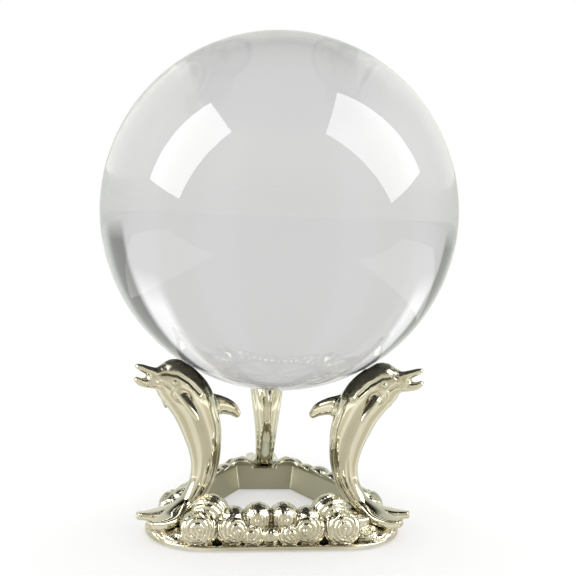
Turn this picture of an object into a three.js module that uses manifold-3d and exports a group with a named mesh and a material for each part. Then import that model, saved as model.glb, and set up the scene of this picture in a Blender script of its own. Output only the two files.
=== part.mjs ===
// Crystal ball on a cast stand of three leaping dolphins.
// Millimetres, +Z up. The origin is the centre of the stand, on the surface that it rests on.
// The front of the stand faces -Y. One dolphin stands at the back and two at the front corners.

import * as THREE from 'three';
import { ParametricGeometry } from 'three/addons/geometries/ParametricGeometry.js';
import { mergeVertices } from 'three/addons/utils/BufferGeometryUtils.js';
import Module from 'manifold-3d';

const wasm = await Module();
wasm.setup();

// ---- Driving dimensions ----

const BALL_RADIUS = 55;
const BALL_CENTRE_HEIGHT = 96.3;
const FIT_GAP = 0.3; // between pieces that touch
const SEAT_EASE = 0.05; // more room round the trunk, whose faceted sides lie inside its true outline

const FOOT_STANDOFF = 0.6; // the feet lift the casting this far off the surface
const RIM_TOP = 1.8; // top of the thin lip round the foot of the casting
const CORE_TOP = 7.3; // top of the casting's core, under the relief
const WALL_TOP = 8.3; // the plain inner wall leans out up to here
const SIDE_DISTANCE = 30.2; // from the axis to each side of the rounded triangle
const CORNER_RADIUS = 18.6;
const UPPER_INSET = 5.2; // the core stands back from the lip
const HOLE_LONG_APOTHEM = 19; // the hole's long sides, between the dolphins
const HOLE_SHORT_APOTHEM = 22.5; // its short sides, behind the dolphins
const HOLE_FLARE = 1.13; // the inner wall leans out towards its top
const HOLE_THROAT = 1.03; // the waves lean in over the top of the wall by this much
const CLEAR_ABOVE = 20; // cuts that pass right out of the top of the casting stop at this height
const CLEAR_BELOW = -10; // and those that pass out of its underside stop here
const CUTTER_WIDTH = 120; // wider than the whole stand

const SEAT_RADIUS = 30.5; // each dolphin's fixing screw stands this far from the axis
const BOSS_RADIUS = 2.5;
const BOSS_BOTTOM = 6.3;
const BOSS_TOP = 8.4;
const SCREW_RADIUS = 1.2;
const SCREW_HEAD_RADIUS = 2.3;
const SCREW_HEAD_BOTTOM = 2.1;
const SCREW_HEAD_TOP = 3.6;
const SCREW_TIP = 9.7;
const SCREW_ROUNDING = 0.5;
const CROSS_SLOT = [2.6, 0.6, 1.6]; // length, width and height of each bar of the cross recess
const WASHER_RADIUS = 2.4;
const WASHER_THICKNESS = 0.5;
const COUNTERBORE_RADIUS = 2.8;

const FOOT_RADIUS = 3.2;
const FOOT_OUT = 33.5; // feet stand in pairs under each corner
const FOOT_ASIDE = 9.5;
const FOOT_RECESS = 0.7;
const FOOT_ROUNDING = 0.4;

const PAD_RADIUS = 1.8;
const PAD_THICKNESS = 0.8;
const PAD_OUT = 31.6; // where the ball touches the crown of each dolphin's head

const CORNER_ANGLES = { back: 90, left: 210, right: 330 };

// A dolphin's stations, in its own frame: X out from the stand's axis, Y sideways, Z up.
// Each is [out, up, half depth, half width] from the face to the end of the tail.
const BODY = [
  [41.8, 47.7, 2.7, 2.7], [39.8, 47.5, 4.0, 3.9], [36.6, 46.9, 6.1, 5.5], [33.3, 44.2, 6.7, 6.0],
  [30.0, 40.3, 6.9, 6.3], [27.8, 35.7, 6.4, 5.9], [25.9, 30.7, 6.0, 5.2], [24.8, 25.3, 5.1, 4.4],
  [24.6, 20.3, 4.3, 3.8], [25.6, 15.5, 3.7, 3.4], [28.2, 11.2, 3.1, 3.2], [32.0, 7.9, 2.4, 3.2],
  [36.2, 6.2, 1.6, 3.4],
];
const UPPER_BEAK = [[41.0, 48.6, 1.8, 2.4], [44.2, 50.1, 1.25, 1.7], [46.2, 51.0, 1.0, 1.45],
  [47.2, 51.4, 0.75, 1.1]];
const LOWER_BEAK = [[41.2, 46.5, 1.9, 2.4], [44.0, 46.4, 1.4, 1.75], [46.2, 46.9, 1.15, 1.5],
  [47.4, 47.6, 0.85, 1.15]];
const DORSAL_FIN = [[24.5, 38.1, 4.0, 1.5], [18.9, 37.4, 2.7, 1.2], [15.4, 35.9, 2.0, 1.0],
  [13.3, 34.0, 1.2, 0.7]];

// Paired limbs: [out, aside, up, half chord, half thickness].
const FLIPPER = [[36.4, 3.6, 44.0, 1.4, 1.2], [35.1, 6.6, 41.5, 1.45, 0.9], [33.9, 8.8, 38.8, 1.15, 0.75],
  [33.0, 9.8, 36.6, 0.65, 0.5]];
const FLIPPER_FACE = [-0.15, 1, 0]; // out, aside, up: the way the flipper's flat face looks
const FLUKE = [[32.5, 0.8, 7.8, 2.6, 1.9], [37.0, 2.6, 6.5, 3.2, 1.6], [41.0, 3.6, 6.2, 2.6, 1.35],
  [43.6, 4.0, 6.5, 1.6, 1.1]];
const FLUKE_FACE = [0.1, 0.15, 1];

// Scrolls, puffs and wave crests on one side of the base, each repeated to left and right of its middle:
// [along the side, out from the axis, up, half length, half depth, half height].
// The crest comes last but one, and the filling in the middle last.
const FRONT_RELIEF = [
  [3.8, 24.6, 8.5, 4.4, 4.6, 4.0], [10.9, 24.2, 7.8, 4.0, 4.1, 3.5], [5.2, 25.6, 4.0, 4.2, 4.2, 3.4],
  [10.9, 25.2, 5.2, 5.2, 4.5, 4.6], [20.4, 25.0, 5.3, 5.9, 4.6, 5.1], [17.4, 22.0, 9.2, 5.8, 4.6, 5.0],
  [0.4, 25.0, 3.2, 3.4, 4.0, 3.2],
];
const REAR_RELIEF = [
  [3.8, 22.8, 7.6, 4.4, 4.4, 3.7], [10.9, 22.4, 7.0, 4.0, 4.0, 3.3], [5.2, 23.9, 3.9, 4.2, 4.0, 3.3],
  [10.9, 23.5, 4.9, 5.2, 4.3, 4.4], [20.2, 23.2, 5.0, 5.7, 4.1, 4.8], [18.8, 20.4, 7.2, 5.4, 4.4, 4.0],
  [0.4, 23.4, 3.1, 3.4, 3.8, 3.1],
];
const FRONT_SHIFT = -2; // the front side's waves stand this far along X from its middle
const LOBE = [33.6, 2.3, 8.5, 11.3, 3.3]; // the wave under the flukes: out, up, half sizes out, aside, up

// How finely the round shapes are divided.
const FINE = {
  ball: [36, 20], trunk: [18, 12], beak: [4, 8], fin: [5, 8], limb: [5, 8], scroll: [9, 6], lobe: [12, 6],
};
const POST_SIDES = 20;
const HOLE_SIDES = 12;
const PAD_SIDES = 16;
const FOOT_SIDES = 14;
const CORNER_SEGMENTS = 7;
const RING_SEGMENTS = 9;
const CAP_STEPS = 2; // rings in each rounded end of a swept body

// ---- Materials ----

function material(color, roughness, metalness) {
  return new THREE.MeshStandardMaterial({ color, roughness, metalness });
}

const champagneChrome = () => material(0xd8d0b4, 0.12, 1);
const clearCrystal = () => material(0xe4e6e8, 0.02, 0);
const clearSilicone = () => material(0xdcdedc, 0.4, 0);
const zincSteel = () => material(0xb9bcc0, 0.35, 1);

// ---- Solids ----

// Turns a closed three.js geometry into a solid whose faces point out.
function solid(geometry) {
  const bare = geometry.clone();
  bare.deleteAttribute('normal');
  bare.deleteAttribute('uv');
  const merged = mergeVertices(bare, 1e-4);
  const triangles = [];
  for (let i = 0; i < merged.index.count; i += 3) {
    const [a, b, c] = [0, 1, 2].map((k) => merged.index.getX(i + k));
    if (a !== b && b !== c && c !== a) {
      triangles.push(a, b, c);
    }
  }
  const vertices = new Float32Array(merged.attributes.position.array);
  if (signedVolume(vertices, triangles) < 0) {
    triangles.reverse();
  }
  return new wasm.Manifold(new wasm.Mesh({
    numProp: 3,
    vertProperties: vertices,
    triVerts: new Uint32Array(triangles),
  }));
}

function signedVolume(vertices, triangles) {
  const corner = (i) => new THREE.Vector3().fromArray(vertices, 3 * triangles[i]);
  let volume = 0;
  for (let i = 0; i < triangles.length; i += 3) {
    volume += corner(i).dot(corner(i + 1).cross(corner(i + 2))) / 6;
  }
  return volume;
}

function geometryOf(body) {
  const mesh = body.getMesh();
  const geometry = new THREE.BufferGeometry();
  geometry.setAttribute('position', new THREE.BufferAttribute(new Float32Array(mesh.vertProperties), 3));
  geometry.setIndex(new THREE.BufferAttribute(new Uint32Array(mesh.triVerts), 1));
  geometry.computeVertexNormals();
  return geometry;
}

function join(bodies) {
  return bodies.reduce((whole, body) => whole.add(body));
}

function cut(whole, bodies) {
  return bodies.reduce((rest, body) => rest.subtract(body), whole);
}

// The casting alone, without loose chips or small hollows shut in between its pieces.
function largestBody(body) {
  return body.decompose().reduce((most, shell) => (shell.volume() > most.volume() ? shell : most));
}

function post(radius, bottom, top, x = 0, y = 0, sides = POST_SIDES) {
  const geometry = new THREE.CylinderGeometry(radius, radius, top - bottom, sides);
  geometry.rotateX(Math.PI / 2);
  geometry.translate(x, y, (top + bottom) / 2);
  return solid(geometry);
}

function ellipsoid(centre, halfSizes, divisions) {
  const geometry = new THREE.SphereGeometry(1, ...divisions);
  geometry.rotateX(Math.PI / 2);
  geometry.scale(...halfSizes);
  geometry.translate(...centre);
  return solid(geometry);
}

// A short post under the ball at the contact point, square to the ball's surface.
// near and far are the distances of its two ends from that surface.
function towardsBall(radius, near, far) {
  const geometry = new THREE.CylinderGeometry(radius, radius, far - near, PAD_SIDES);
  geometry.translate(0, -BALL_RADIUS - (near + far) / 2, 0);
  geometry.rotateX(Math.PI / 2);
  geometry.rotateY(-Math.asin(PAD_OUT / BALL_RADIUS));
  geometry.translate(0, 0, BALL_CENTRE_HEIGHT);
  return solid(geometry);
}

function turned(body, degrees) {
  return body.rotate([0, 0, degrees]);
}

// A closed body swept along a curve with an elliptical section, rounded off at both ends.
// face is the way that the section's second half axis points; grow widens it all round.
function sweptBody(points, halfSizes, face, grow, [steps, sides]) {
  const spine = new THREE.CatmullRomCurve3(points);
  const sizes = new THREE.CatmullRomCurve3(halfSizes.map(([a, b]) => new THREE.Vector3(a, b, 0)));
  const rings = steps + 2 * CAP_STEPS;
  const surface = (u, v, target) => {
    const ring = Math.round(v * rings);
    const cap = Math.max(CAP_STEPS - ring, ring - (rings - CAP_STEPS), 0) / CAP_STEPS;
    const t = THREE.MathUtils.clamp((ring - CAP_STEPS) / steps, 0, 1);
    const tangent = spine.getTangent(t);
    const across = face.clone().cross(tangent).normalize();
    const beside = tangent.clone().cross(across);
    const size = sizes.getPoint(t);
    const [a, b] = [size.x + grow, size.y + grow];
    const shrink = Math.cos(cap * Math.PI / 2);
    const reach = Math.sin(cap * Math.PI / 2) * Math.min(a, b) * (ring < CAP_STEPS ? -1 : 1);
    target.copy(spine.getPoint(t)).addScaledVector(tangent, reach);
    if (shrink > 1e-6) {
      target.addScaledVector(across, Math.cos(2 * Math.PI * u) * a * shrink);
      target.addScaledVector(beside, Math.sin(2 * Math.PI * u) * b * shrink);
    }
  };
  return solid(new ParametricGeometry(surface, sides, rings));
}

// ---- Dolphins ----

function midlinePiece(stations, grow, divisions) {
  const points = stations.map(([out, up]) => new THREE.Vector3(out, 0, up));
  const halfSizes = stations.map(([, , deep, wide]) => [deep, wide]);
  return sweptBody(points, halfSizes, new THREE.Vector3(0, 1, 0), grow, divisions);
}

function limb(stations, face, side, grow) {
  const points = stations.map(([out, aside, up]) => new THREE.Vector3(out, side * aside, up));
  const halfSizes = stations.map(([, , , broad, thick]) => [broad, thick]);
  const sideFace = new THREE.Vector3(face[0], side * face[1], face[2]);
  return sweptBody(points, halfSizes, sideFace, grow, FINE.limb);
}

// The trunk from the face to the flukes; grow widens it to cut the seat that it stands in.
function trunk(grow) {
  return join([
    midlinePiece(BODY, grow, FINE.trunk),
    ...[-1, 1].map((side) => limb(FLUKE, FLUKE_FACE, side, grow)),
  ]);
}

function dolphinBody() {
  const flesh = join([
    trunk(0),
    midlinePiece(UPPER_BEAK, 0, FINE.beak),
    midlinePiece(LOWER_BEAK, 0, FINE.beak),
    midlinePiece(DORSAL_FIN, 0, FINE.fin),
    ...[-1, 1].map((side) => limb(FLIPPER, FLIPPER_FACE, side, 0)),
    post(BOSS_RADIUS, BOSS_BOTTOM, BOSS_TOP, SEAT_RADIUS),
  ]);
  const screwHole = post(SCREW_RADIUS + FIT_GAP, 0, SCREW_TIP + FIT_GAP, SEAT_RADIUS, 0, HOLE_SIDES);
  const padRecess = towardsBall(PAD_RADIUS + FIT_GAP, 0, PAD_THICKNESS + 2 * FIT_GAP);
  return cut(flesh, [screwHole, padRecess]);
}

// ---- Base ring ----

function roundedTriangle(inset) {
  const shape = new THREE.Shape();
  for (const degrees of Object.values(CORNER_ANGLES)) {
    const angle = THREE.MathUtils.degToRad(degrees);
    const centre = 2 * (SIDE_DISTANCE - CORNER_RADIUS);
    const [x, y] = [centre * Math.cos(angle), centre * Math.sin(angle)];
    shape.absarc(x, y, CORNER_RADIUS - inset, angle - Math.PI / 3, angle + Math.PI / 3, false);
  }
  return shape;
}

function slab(shape, bottom, top, curveSegments) {
  const depth = top - bottom;
  const geometry = new THREE.ExtrudeGeometry(shape, { depth, bevelEnabled: false, curveSegments });
  return geometry.translate(0, 0, bottom);
}

// The hole's outline: six sides at 60 degrees, long and short in turn.
function holeOutline() {
  const sides = [0, 1, 2, 3, 4, 5].map((k) => ({
    angle: THREE.MathUtils.degToRad(30 + 60 * k),
    apothem: k % 2 === 0 ? HOLE_LONG_APOTHEM : HOLE_SHORT_APOTHEM,
  }));
  const corners = sides.map((side, k) => {
    const next = sides[(k + 1) % sides.length];
    const turn = Math.PI / 3;
    const slide = (next.apothem - side.apothem * Math.cos(turn)) / Math.sin(turn);
    return new THREE.Vector2(side.apothem, slide).rotateAround(new THREE.Vector2(), side.angle);
  });
  return new THREE.Shape(corners);
}

function holeCutter() {
  const flared = slab(holeOutline(), 0, WALL_TOP, 1);
  const position = flared.attributes.position;
  for (let i = 0; i < position.count; i += 1) {
    if (position.getZ(i) > 0) {
      position.setXY(i, position.getX(i) * HOLE_FLARE, position.getY(i) * HOLE_FLARE);
    }
  }
  const upper = slab(holeOutline(), WALL_TOP, CLEAR_ABOVE, 1);
  upper.scale(HOLE_THROAT, HOLE_THROAT, 1);
  return solid(flared).add(solid(upper));
}

// The waves of the side that faces -Y.
function reliefOnOneSide(waves) {
  const bodies = [];
  for (const [along, out, up, ...halfSizes] of waves) {
    for (const side of [-1, 1]) {
      bodies.push(ellipsoid([side * along, -out, up], halfSizes, FINE.scroll));
    }
  }
  return join(bodies);
}

function baseRing() {
  const corners = Object.values(CORNER_ANGLES);
  const rear = reliefOnOneSide(REAR_RELIEF);
  const lobe = ellipsoid([LOBE[0], 0, LOBE[1]], LOBE.slice(2), FINE.lobe);
  const cast = join([
    solid(slab(roundedTriangle(0), FOOT_STANDOFF, RIM_TOP, CORNER_SEGMENTS)),
    solid(slab(roundedTriangle(UPPER_INSET), FOOT_STANDOFF, CORE_TOP, CORNER_SEGMENTS)),
    reliefOnOneSide(FRONT_RELIEF).translate([FRONT_SHIFT, 0, 0]),
    ...[120, 240].map((degrees) => turned(rear, degrees)),
    ...corners.map((degrees) => turned(lobe, degrees)),
  ]);
  const underside = new THREE.BoxGeometry(CUTTER_WIDTH, CUTTER_WIDTH, FOOT_STANDOFF - CLEAR_BELOW);
  underside.translate(0, 0, (FOOT_STANDOFF + CLEAR_BELOW) / 2);
  const counterboreTop = SCREW_HEAD_TOP + WASHER_THICKNESS + 2 * FIT_GAP;
  const fixings = join([
    trunk(FIT_GAP + SEAT_EASE),
    post(BOSS_RADIUS + FIT_GAP, BOSS_BOTTOM - FIT_GAP, CLEAR_ABOVE, SEAT_RADIUS),
    post(SCREW_RADIUS + FIT_GAP, 0, BOSS_TOP, SEAT_RADIUS, 0, HOLE_SIDES),
    post(COUNTERBORE_RADIUS, 0, counterboreTop, SEAT_RADIUS),
    ...[-1, 1].map((side) => post(FOOT_RADIUS + FIT_GAP, 0, FOOT_STANDOFF + FOOT_RECESS, FOOT_OUT,
      side * FOOT_ASIDE)),
  ]);
  const seats = corners.map((degrees) => turned(fixings, degrees));
  return largestBody(cut(cast, [solid(underside), holeCutter(), ...seats]));
}

// ---- Small parts ----

function lathe(profile, segments) {
  const points = profile.map(([radius, height]) => new THREE.Vector2(radius, height));
  return new THREE.LatheGeometry(points, segments).rotateX(Math.PI / 2);
}

// A pan-head screw with a cross recess, driven up from below.
function screw() {
  const body = solid(lathe([
    [0, SCREW_HEAD_BOTTOM], [SCREW_HEAD_RADIUS - SCREW_ROUNDING, SCREW_HEAD_BOTTOM],
    [SCREW_HEAD_RADIUS, SCREW_HEAD_BOTTOM + SCREW_ROUNDING], [SCREW_HEAD_RADIUS, SCREW_HEAD_TOP],
    [SCREW_RADIUS, SCREW_HEAD_TOP], [SCREW_RADIUS, SCREW_TIP - SCREW_ROUNDING],
    [SCREW_RADIUS - SCREW_ROUNDING, SCREW_TIP], [0, SCREW_TIP],
  ], HOLE_SIDES));
  const slot = new THREE.BoxGeometry(...CROSS_SLOT).translate(0, 0, SCREW_HEAD_BOTTOM);
  const crossSlot = slot.clone().rotateZ(Math.PI / 2);
  return cut(body, [solid(slot), solid(crossSlot)]);
}

// A split spring washer.
function washer() {
  const inner = SCREW_RADIUS + FIT_GAP;
  const splitAngle = 0.2;
  const shape = new THREE.Shape();
  shape.absarc(0, 0, WASHER_RADIUS, splitAngle, 2 * Math.PI - splitAngle, false);
  shape.absarc(0, 0, inner, 2 * Math.PI - splitAngle, splitAngle, true);
  const bottom = SCREW_HEAD_TOP + FIT_GAP;
  return solid(slab(shape, bottom, bottom + WASHER_THICKNESS, RING_SEGMENTS));
}

// A clear dot let into the dolphin's crown, standing just proud of it for the ball to rest on.
function contactPad() {
  return towardsBall(PAD_RADIUS, FIT_GAP, FIT_GAP + PAD_THICKNESS);
}

function foot() {
  const top = FOOT_STANDOFF + FOOT_RECESS - FIT_GAP;
  return solid(lathe([[0, 0], [FOOT_RADIUS - FOOT_ROUNDING, 0], [FOOT_RADIUS, FOOT_ROUNDING],
    [FOOT_RADIUS, top], [0, top]], FOOT_SIDES));
}

// ---- Assembly ----

const crystalBall = new THREE.Group();

function addPiece(name, geometry, finish, parent = crystalBall) {
  const mesh = new THREE.Mesh(geometry, finish);
  mesh.name = name;
  parent.add(mesh);
  return mesh;
}

const ball = new THREE.SphereGeometry(BALL_RADIUS, ...FINE.ball).rotateX(Math.PI / 2);
addPiece('crystal_ball', geometryOf(solid(ball)), clearCrystal()).position.z = BALL_CENTRE_HEIGHT;
addPiece('base_ring', geometryOf(baseRing()), champagneChrome());

const dolphinShape = geometryOf(dolphinBody());
const screwShape = geometryOf(screw());
const washerShape = geometryOf(washer());
const padShape = geometryOf(contactPad());
const footShape = geometryOf(foot());

for (const [place, degrees] of Object.entries(CORNER_ANGLES)) {
  const corner = new THREE.Group();
  corner.rotation.z = THREE.MathUtils.degToRad(degrees);
  crystalBall.add(corner);
  addPiece(`dolphin_${place}`, dolphinShape, champagneChrome(), corner);
  addPiece(`fixing_screw_${place}`, screwShape, zincSteel(), corner).position.x = SEAT_RADIUS;
  addPiece(`spring_washer_${place}`, washerShape, zincSteel(), corner).position.x = SEAT_RADIUS;
  addPiece(`contact_pad_${place}`, padShape, clearSilicone(), corner);
  for (const [end, side] of [['a', -1], ['b', 1]]) {
    const piece = addPiece(`rubber_foot_${place}_${end}`, footShape, clearSilicone(), corner);
    piece.position.set(FOOT_OUT, side * FOOT_ASIDE, 0);
  }
}

export default crystalBall;
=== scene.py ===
import math
from collections import namedtuple

import bpy
import numpy as np
from mathutils import Matrix, Vector

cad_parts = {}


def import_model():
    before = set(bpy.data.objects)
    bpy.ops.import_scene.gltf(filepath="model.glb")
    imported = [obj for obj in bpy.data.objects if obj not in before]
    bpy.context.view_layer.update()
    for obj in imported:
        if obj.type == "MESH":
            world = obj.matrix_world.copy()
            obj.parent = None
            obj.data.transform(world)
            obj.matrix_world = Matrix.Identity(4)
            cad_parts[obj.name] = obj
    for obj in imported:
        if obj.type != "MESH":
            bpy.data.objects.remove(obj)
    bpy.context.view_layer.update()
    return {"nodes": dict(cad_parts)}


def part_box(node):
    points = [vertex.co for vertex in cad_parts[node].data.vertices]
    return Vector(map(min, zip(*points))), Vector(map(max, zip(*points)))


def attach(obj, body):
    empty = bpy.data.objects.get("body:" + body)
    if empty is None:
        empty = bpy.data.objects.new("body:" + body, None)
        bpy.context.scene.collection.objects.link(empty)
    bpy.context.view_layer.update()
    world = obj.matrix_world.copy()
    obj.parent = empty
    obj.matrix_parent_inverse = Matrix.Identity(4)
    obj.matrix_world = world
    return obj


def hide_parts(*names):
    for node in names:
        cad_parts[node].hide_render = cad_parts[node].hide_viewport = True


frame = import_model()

# Crystal ball on a cast stand of three leaping dolphins.
# The solid shapes are worked out in millimetres and written in metres.

MM = 0.001
CORNERS = {"back": 90, "left": 210, "right": 330}  # azimuth of each dolphin, in degrees
FIT_GAP = 0.3  # between pieces that are put together
FAR = 9.0  # stands for any distance that is too long to matter

# ---- A dolphin, in its own frame: X out from the axis, Y aside, Z up ----

# Stations from the face to the end of the tail: [out, up, half depth, half width].
BODY = [
    [41.8, 47.7, 2.7, 2.7], [39.8, 47.5, 4.0, 3.9], [36.6, 46.9, 6.1, 5.5], [33.3, 44.2, 6.7, 6.0],
    [30.0, 40.3, 6.9, 6.3], [27.8, 35.7, 6.4, 5.9], [25.9, 30.7, 6.0, 5.2], [24.8, 25.3, 5.1, 4.4],
    [24.6, 20.3, 4.3, 3.8], [25.6, 15.5, 3.7, 3.4], [28.2, 11.2, 3.1, 3.2], [32.0, 7.9, 2.4, 3.2],
    [36.2, 6.2, 1.6, 3.4],
]
UPPER_BEAK = [
    [41.0, 48.6, 1.8, 2.4], [44.2, 50.1, 1.25, 1.7], [46.2, 51.0, 1.0, 1.45], [47.2, 51.4, 0.75, 1.1],
]
LOWER_BEAK = [
    [41.2, 46.5, 1.9, 2.4], [44.0, 46.4, 1.4, 1.75], [46.2, 46.9, 1.15, 1.5], [47.4, 47.6, 0.85, 1.15],
]
DORSAL_FIN = [
    [24.5, 38.1, 4.0, 1.5], [18.9, 37.4, 2.7, 1.2], [15.4, 35.9, 2.0, 1.0], [13.3, 34.0, 1.2, 0.7],
]
MIDLINE_FACE = (0, 1, 0)

# Paired limbs: [out, aside, up, half chord, half thickness], and the way that the flat face looks.
FLIPPER = [
    [36.4, 3.6, 44.0, 1.4, 1.2], [35.1, 6.6, 41.5, 1.45, 0.9], [33.9, 8.8, 38.8, 1.15, 0.75],
    [33.0, 9.8, 36.6, 0.65, 0.5],
]
FLIPPER_FACE = (-0.15, 1, 0)
FLUKE = [
    [32.5, 0.8, 7.8, 2.6, 1.9], [37.0, 2.6, 6.5, 3.2, 1.6], [41.0, 3.6, 6.2, 2.6, 1.35],
    [43.6, 4.0, 6.5, 1.6, 1.1],
]
FLUKE_FACE = (0.1, 0.15, 1)
FLUKE_POWER = 3.5  # of the section's outline: 2 is an ellipse, more is squarer

# Where things lie on the body: [out, up]. A groove is (depth, half width).
BROW = [[42.6, 49.1], [40.2, 49.4], [37.0, 48.9], [33.6, 46.6], [30.4, 43.3]]
BROW_GROOVE = (0.4, 0.5)
MOUTH = [[42.4, 47.5], [40.6, 46.6], [38.9, 45.3]]
MOUTH_GROOVE = (0.5, 0.38)
EYE = (38.0, 46.9)
EYE_RADIUS = 0.7
EYE_GROOVE = (0.22, 0.3)
EYE_RISE = 0.15
EYE_DOME = 0.49  # radius of the part that stands out
FACE_START = (1.6, 1.2)  # how far aside the grooves of the face begin, and over how much they fade in
FLIPPER_GROOVE = (0.35, 0.45)
FLIPPER_GROOVE_GAP = 0.5

# Angles round the body are in degrees from its back, which looks at the axis. Places along it count the
# stations from the face. Bands are (start, end, softness).
SIDE_LINE_ANGLE = 52
SIDE_LINE_GROOVE = (0.42, 0.55)
SIDE_LINE_STATIONS = (4.6, 11.0, 1.2)
RIB_DEPTH = 0.26
RIB_SPACING = 22
RIB_MIDDLE = 76
RIB_ANGLES = (62, 132, 8)
RIB_STATIONS = (7.2, 11.4, 1.6)

FIN_BLEND = 1.6  # of the dorsal fin and of the flukes
FLIPPER_BLEND = 0.4
UPPER_BEAK_BLEND = 0.7
LOWER_BEAK_BLEND = 0.9

# A rounded body fills the throat, and the crease across it is evened out.
THROAT = (35.0, 0, 45.2)
THROAT_HALF = (6.0, 5.6, 6.0)
THROAT_BLEND = 1.0
CREASE = (39.2, 41.4)
CREASE_REACH = 2.6
CREASE_SPREAD = [(1.1, 0), (0.55, 0.95), (-0.55, 0.95), (-1.1, 0), (-0.55, -0.95), (0.55, -0.95)]

# The screw that holds each dolphin, the boss it goes into and the pad that the ball touches.
SCREW_LOW, SCREW_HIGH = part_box("fixing_screw_back")
SCREW_OUT = (SCREW_LOW[1] + SCREW_HIGH[1]) / 2 / MM
SCREW_TIP = SCREW_HIGH[2] / MM
SCREW_RADIUS = 1.2
BOSS_RADIUS = 2.5
BOSS_BOTTOM = 6.3
BOSS_TOP = 8.4
BALL_LOW, BALL_HIGH = (np.array(corner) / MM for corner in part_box("crystal_ball"))
BALL_CENTRE = (BALL_LOW + BALL_HIGH) / 2
BALL_RADIUS = (BALL_HIGH - BALL_LOW)[2] / 2
PAD_OUT = 31.6
PAD_RADIUS = 1.8
PAD_DEPTH = 1.4  # from the ball's surface to the bottom of the pad's recess

# ---- The base ring ----

FLOOR = 0.6  # the ring's underside, which the feet hold off the table
RIM_TOP = 1.8
RIM_ROUNDING = 0.3
CORE_TOP = 7.3
CORE_ROUNDING = 1.0
WALL_TOP = 8.3
SIDE_DISTANCE = 30.2
CORNER_RADIUS = 18.6
CORNER_START = -5  # the round corners begin this far inward of their centres
UPPER_INSET = 5.2  # from the rim to the core that carries the waves
HOLE_LONG_APOTHEM = 19.0
HOLE_SHORT_APOTHEM = 22.5
HOLE_FLARE = 0.13
HOLE_LIP = 0.10
SEAM = 0.16  # between the ring and the tails that stand in it
LOBE = (33.6, 0.0, 2.3)  # the mound under each tail
LOBE_HALF = (8.5, 11.3, 3.3)
LOBE_STRANDS = (0.42, 1.5)  # depth and pitch
LOBE_FALL = 0.4  # how steeply its strands run down to the sides
LOBE_BEND = 0.05
CREST_STRANDS = (0.3, 1.3)
CREST_STRANDS_START = (2.4, 0.8)
CURL_RISE = (-1.5, 0, 2.0)  # from the middle of the great curl to the point that the strands circle
CURL_SQUEEZE = (1, 0.6, 1)
SCROLL_DEPTH = 0.42
SPIRAL_WIDTH = 0.24  # half the groove's width, as a share of the pitch
SPIRAL_CROWDING = 0.32  # how much closer the turns are below the start
SPIRAL_WANDER = 0.08
FRONT_SHIFT = 2.0  # the waves of the front side stand this far to the left of its middle

# The waves on half of one side. Centre and half sizes are along the side, out and up. The spiral has a
# pitch (0 leaves the wave plain), a hand, a lean of its face in degrees, a start beside and above the
# centre, and a share of the height above which the wave is smooth.
Wave = namedtuple("Wave", "centre half pitch hand lean start smooth_above", defaults=(0, 1, 0, (0, 0), 0))
FRONT_WAVES = {
    "inner puff": Wave((3.8, 24.6, 8.5), (4.4, 4.6, 4.0), 1.15, 1, 15, (0.5, -1.6), 0.15),
    "outer puff": Wave((10.9, 24.2, 7.8), (4.0, 4.1, 3.5), 1.15, -1, 15, (0.6, -1.2), 0.15),
    "small curl": Wave((5.2, 25.6, 4.0), (4.2, 4.2, 3.4), 1.0, -1, 8, (0.8, -0.3), 1.5),
    "middle curl": Wave((10.9, 25.2, 5.2), (5.2, 4.5, 4.6), 1.1, 1, 10, (-1.3, -0.6), 1.5),
    "great curl": Wave((20.4, 25.0, 5.3), (5.9, 4.6, 5.1), 1.2, 1, 10, (0.5, -0.5), 1.5),
    "crest": Wave((17.4, 22.0, 9.2), (5.8, 4.6, 5.0)),
    "filler": Wave((0.4, 25.0, 3.2), (3.4, 4.0, 3.2)),
}
REAR_WAVES = {
    "inner puff": Wave((3.8, 22.8, 7.6), (4.4, 4.4, 3.7), 1.15, 1, 15, (0.5, -1.6), 0.15),
    "outer puff": Wave((10.9, 22.4, 7.0), (4.0, 4.0, 3.3), 1.15, -1, 15, (0.6, -1.2), 0.15),
    "small curl": Wave((5.2, 23.9, 3.9), (4.2, 4.0, 3.3), 1.0, -1, 8, (0.8, -0.3), 1.5),
    "middle curl": Wave((10.9, 23.5, 4.9), (5.2, 4.3, 4.4), 1.1, 1, 10, (-1.3, -0.6), 1.5),
    "great curl": Wave((20.2, 23.2, 5.0), (5.7, 4.1, 4.8), 1.2, 1, 10, (0.5, -0.5), 1.5),
    "crest": Wave((18.8, 20.4, 7.2), (5.4, 4.4, 4.0)),
    "filler": Wave((0.4, 23.4, 3.1), (3.4, 3.8, 3.1)),
}
WAVE_BLEND = 0.25
WAVE_REACH = 2  # a wave is worked out this far beyond its own sizes


def hollow_over(node, bare_radius):
    """A hollow in the underside for a piece of the back corner: radius, top, and place out and aside."""
    low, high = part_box(node)
    out, aside = (low[1] + high[1]) / 2 / MM, abs(low[0] + high[0]) / 2 / MM
    return bare_radius + FIT_GAP, high[2] / MM + FIT_GAP, out, aside


HOLLOWS = (hollow_over("spring_washer_back", 2.5), hollow_over("rubber_foot_back_a", 3.2))

# ---- Finishes ----

PLATE = ((0.725, 0.69, 0.57, 1), (0.66, 0.625, 0.495, 1))
PLATE_FLECK = (0.55, 0.50, 0.38, 1)
# painted shade: the darker colour given to the wall of the middle hole
PLATE_INNER_WALL_SHADE = (0.33, 0.32, 0.24, 1)
# painted shade: the darker colour laid into the grooves and hollows
PLATE_GROOVE_SHADE = (0.20, 0.17, 0.11, 1)
HEAD_START = (0.040, 0.045)  # height of the neck, where the dents of the heads begin, in metres
GLASS = ((0.66, 0.66, 0.665, 1), (0.685, 0.685, 0.685, 1))
STEEL = ((0.62, 0.64, 0.66, 1), (0.48, 0.50, 0.50, 1))
SILICONE = ((0.86, 0.87, 0.86, 1), (0.74, 0.75, 0.73, 1))
TABLE = ((0.61, 0.61, 0.61, 1), (0.63, 0.63, 0.63, 1))

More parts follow.
